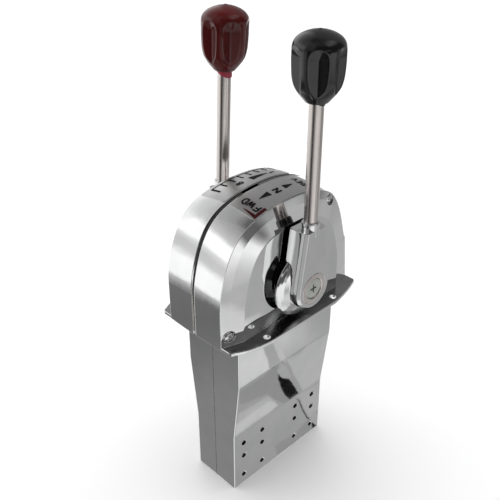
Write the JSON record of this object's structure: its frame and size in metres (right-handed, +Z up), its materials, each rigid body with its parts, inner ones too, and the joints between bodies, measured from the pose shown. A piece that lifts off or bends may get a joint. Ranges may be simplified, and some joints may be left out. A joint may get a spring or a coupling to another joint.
{
  "type": "boat throttle control lever",
  "caption": "Top-mount twin-lever boat engine control: chrome dome on a deck flange, open case below for the cables, shift lever with black knob, throttle lever with dark red knob.",
  "frame": {"origin": "centre of the four deck bolt holes, on the deck plane (underside of the flange)", "axes": "+X ahead, +Y to port (shift lever side), +Z up, away from the deck"},
  "size_m": [0.1403, 0.1269, 0.3746],
  "materials": {
    "chrome": "mirror-polished chrome on a zinc die casting",
    "bright_screws": "polished stainless pan-head screws",
    "black_rubber": "matt black ribbed rubber",
    "grey_bead": "grey satin bead",
    "satin_label": "satin silver plate with dark marks",
    "rod_steel": "polished stainless bar",
    "black_knob": "gloss black moulding",
    "red_knob": "gloss dark red moulding",
    "brass": "turned brass",
    "pivot_screw": "zinc-plated countersunk screw",
    "trim_ring": "warm satin ring",
    "switch_black": "moulded phenolic",
    "switch_red": "moulded nylon",
    "brake_lining": "friction lining",
    "spring_steel": "spring wire",
    "plated_steel": "zinc-plated steel"
  },
  "bodies": {
    "root": {"housing_port": "chrome", "housing_starboard": "chrome", "seal_strip_front": "black_rubber", "seam_bead_rear": "grey_bead", "shift_label": "satin_label", "throttle_label": "satin_label", "housing_screws": "bright_screws", "centre_plate": "plated_steel", "centre_bush": "brass", "stop_pins": "plated_steel", "shift_bush": "brass", "throttle_bush": "brass", "detent_holder": "plated_steel", "detent_holder_screws": "plated_steel", "detent_cap_screw": "plated_steel", "detent_spring": "spring_steel", "neutral_switch": "switch_black", "switch_terminals": "brass", "switch_screws": "plated_steel", "friction_block": "plated_steel", "friction_block_screws": "plated_steel", "friction_spring": "spring_steel"},
    "shift_lever": {"shift_arm": "chrome", "shift_rod": "rod_steel", "shift_knob": "black_knob", "shift_knob_insert": "brass", "shift_pivot_screw": "pivot_screw", "shift_trim_ring": "trim_ring", "shift_shaft": "plated_steel", "shift_crank": "plated_steel", "shift_crank_pin": "plated_steel", "detent_wheel": "plated_steel"},
    "throttle_lever": {"throttle_arm": "chrome", "throttle_rod": "rod_steel", "throttle_knob": "red_knob", "throttle_knob_insert": "brass", "throttle_pivot_screw": "pivot_screw", "throttle_trim_ring": "trim_ring", "throttle_shaft": "plated_steel", "throttle_crank": "plated_steel", "throttle_crank_pin": "plated_steel", "brake_disc": "plated_steel"},
    "shift_swivel": {"shift_cable_swivel": "plated_steel", "shift_swivel_clip": "plated_steel"},
    "throttle_swivel": {"throttle_cable_swivel": "plated_steel", "throttle_swivel_clip": "plated_steel"},
    "detent_plunger": {"detent_plunger": "plated_steel"},
    "switch_plunger": {"switch_plunger": "switch_red"},
    "friction_screw": {"friction_screw": "plated_steel"},
    "brake_shoe": {"brake_shoe": "brake_lining"}
  },
  "joints": [
    {"name": "shift_lever_pivot", "type": "hinge", "parent": "root", "child": "shift_lever", "pos_m": [0, 0, 0.0324], "axis": [0, 1, 0], "range_deg": [-44, 44]},
    {"name": "throttle_lever_pivot", "type": "hinge", "parent": "root", "child": "throttle_lever", "pos_m": [0, 0, 0.0324], "axis": [0, 1, 0], "range_deg": [-41.35, 46.65]},
    {"name": "shift_swivel_turn", "type": "hinge", "parent": "shift_lever", "child": "shift_swivel", "pos_m": [0, 0.0125, -0.0016], "axis": [0, 1, 0], "range_deg": [-45, 45]},
    {"name": "throttle_swivel_turn", "type": "hinge", "parent": "throttle_lever", "child": "throttle_swivel", "pos_m": [0.00157, -0.0125, -0.00156], "axis": [0, 1, 0], "range_deg": [-47, 42]},
    {"name": "detent_plunger_lift", "type": "slide", "parent": "root", "child": "detent_plunger", "axis": [0, 0, 1], "range_m": [0, 0.0015], "stiffness_N_per_m": 400, "springref_m": -0.002, "deforming": ["detent_spring"]},
    {"name": "switch_plunger_press", "type": "slide", "parent": "root", "child": "switch_plunger", "axis": [-1, 0, 0], "range_m": [0, 0.001], "stiffness_N_per_m": 300, "springref_m": -0.001},
    {"name": "friction_screw_turn", "type": "hinge", "parent": "root", "child": "friction_screw", "pos_m": [0.0155, 0, 0.08], "axis": [0, 0, 1], "range_deg": [0, 362]},
    {"name": "brake_shoe_lift", "type": "slide", "parent": "root", "child": "brake_shoe", "axis": [0, 0, 1], "range_m": [0, 0.0007], "deforming": ["friction_spring"]}
  ],
  "couplings": [
    {"joint": "shift_swivel_turn", "follows": "shift_lever_pivot", "ratio": -1},
    {"joint": "throttle_swivel_turn", "follows": "throttle_lever_pivot", "ratio": -1},
    {"joint": "friction_screw_turn", "follows": "brake_shoe_lift", "rad_per_m": 8976}
  ]
}
